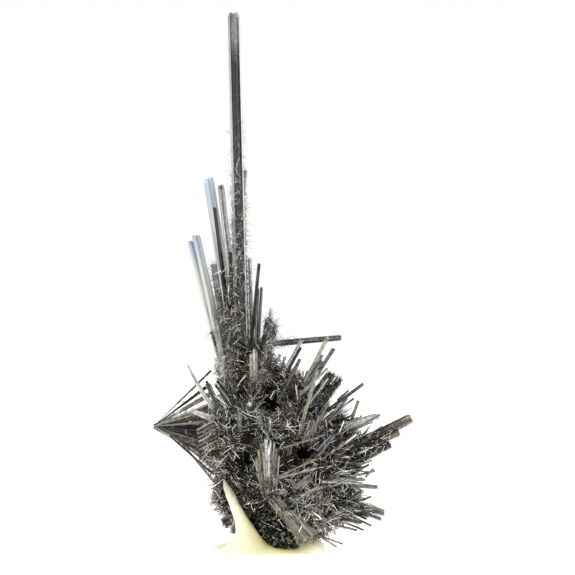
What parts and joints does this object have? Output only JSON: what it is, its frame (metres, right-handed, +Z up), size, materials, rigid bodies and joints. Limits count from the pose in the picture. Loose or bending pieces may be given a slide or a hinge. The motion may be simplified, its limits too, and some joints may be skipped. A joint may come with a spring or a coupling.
{
  "type": "stibnite specimen",
  "caption": "Stibnite specimen: slender metallic grey prisms fan out of a matted mass of needles, stood upright in a pale putty foot for display.",
  "frame": {"origin": "centre of the putty foot's flat underside, where it rests on a shelf", "axes": "+Z up along the tall prism, -Y towards the viewer of the picture, +X to that viewer's right"},
  "size_m": [0.057, 0.0343, 0.1186],
  "materials": {
    "lead_grey": "metallic lead-grey crystal with fine lengthwise striations",
    "dark_steel": "metallic dark steel-grey crystal with fine lengthwise striations",
    "blue_silver": "bright silver crystal with a blue tarnish at the tip",
    "pale_beige": "paler crystal with a dull beige to white face",
    "matted_needles": "matted metallic grey needles over dark gaps",
    "cream_putty": "soft waxy cream-yellow mounting putty"
  },
  "bodies": {
    "root": {"putty_foot": "cream_putty", "needle_mass": "matted_needles", "tall_prism": "dark_steel", "blue_prism": "blue_silver", "short_blue_prism": "blue_silver", "thin_dark_prism": "dark_steel", "wide_dark_prism": "dark_steel", "striped_prism": "lead_grey", "left_edge_prism": "dark_steel", "left_pair": "blue_silver", "light_grey_prism": "lead_grey", "slim_dark_prism": "dark_steel", "slim_pair": "lead_grey", "coated_stump": "dark_steel", "lilac_prism": "lead_grey", "level_prism": "lead_grey", "pale_blade": "pale_beige", "spray_twin": "lead_grey", "spray_rough": "dark_steel", "spray_long": "lead_grey", "spray_lilac": "lead_grey", "spray_dark": "dark_steel", "spray_pale": "lead_grey", "spray_front": "lead_grey", "fuzzy_stump": "dark_steel", "bright_sliver": "lead_grey", "slant_dark": "dark_steel", "slant_blade": "lead_grey", "short_grey": "lead_grey", "white_blade": "pale_beige", "right_long_prism": "dark_steel", "fuzzy_stub": "dark_steel", "cross_prism": "pale_beige", "lower_pale_prism": "pale_beige", "lower_fuzzy_prism": "dark_steel", "lower_short_prism": "pale_beige", "low_twin": "lead_grey", "beige_prism": "pale_beige", "thick_beige_prism": "pale_beige", "yellow_fork": "pale_beige", "violet_prism": "lead_grey", "brown_blade": "pale_beige", "front_triplet": "lead_grey", "olive_prism": "pale_beige", "olive_band": "pale_beige", "lilac_end_prism": "lead_grey", "left_fan": "lead_grey", "curved_blade": "pale_beige", "striped_stub": "lead_grey", "line_stub": "lead_grey", "pink_blade": "pale_beige", "hanging_prism": "dark_steel", "hanging_stub": "dark_steel", "back_long_prism": "lead_grey", "back_broad_prism": "dark_steel", "back_upper_prism": "blue_silver", "back_lower_prism": "dark_steel", "back_right_prism": "lead_grey", "back_left_prism": "lead_grey", "back_slim_prism": "lead_grey"}
  },
  "joints": []
}
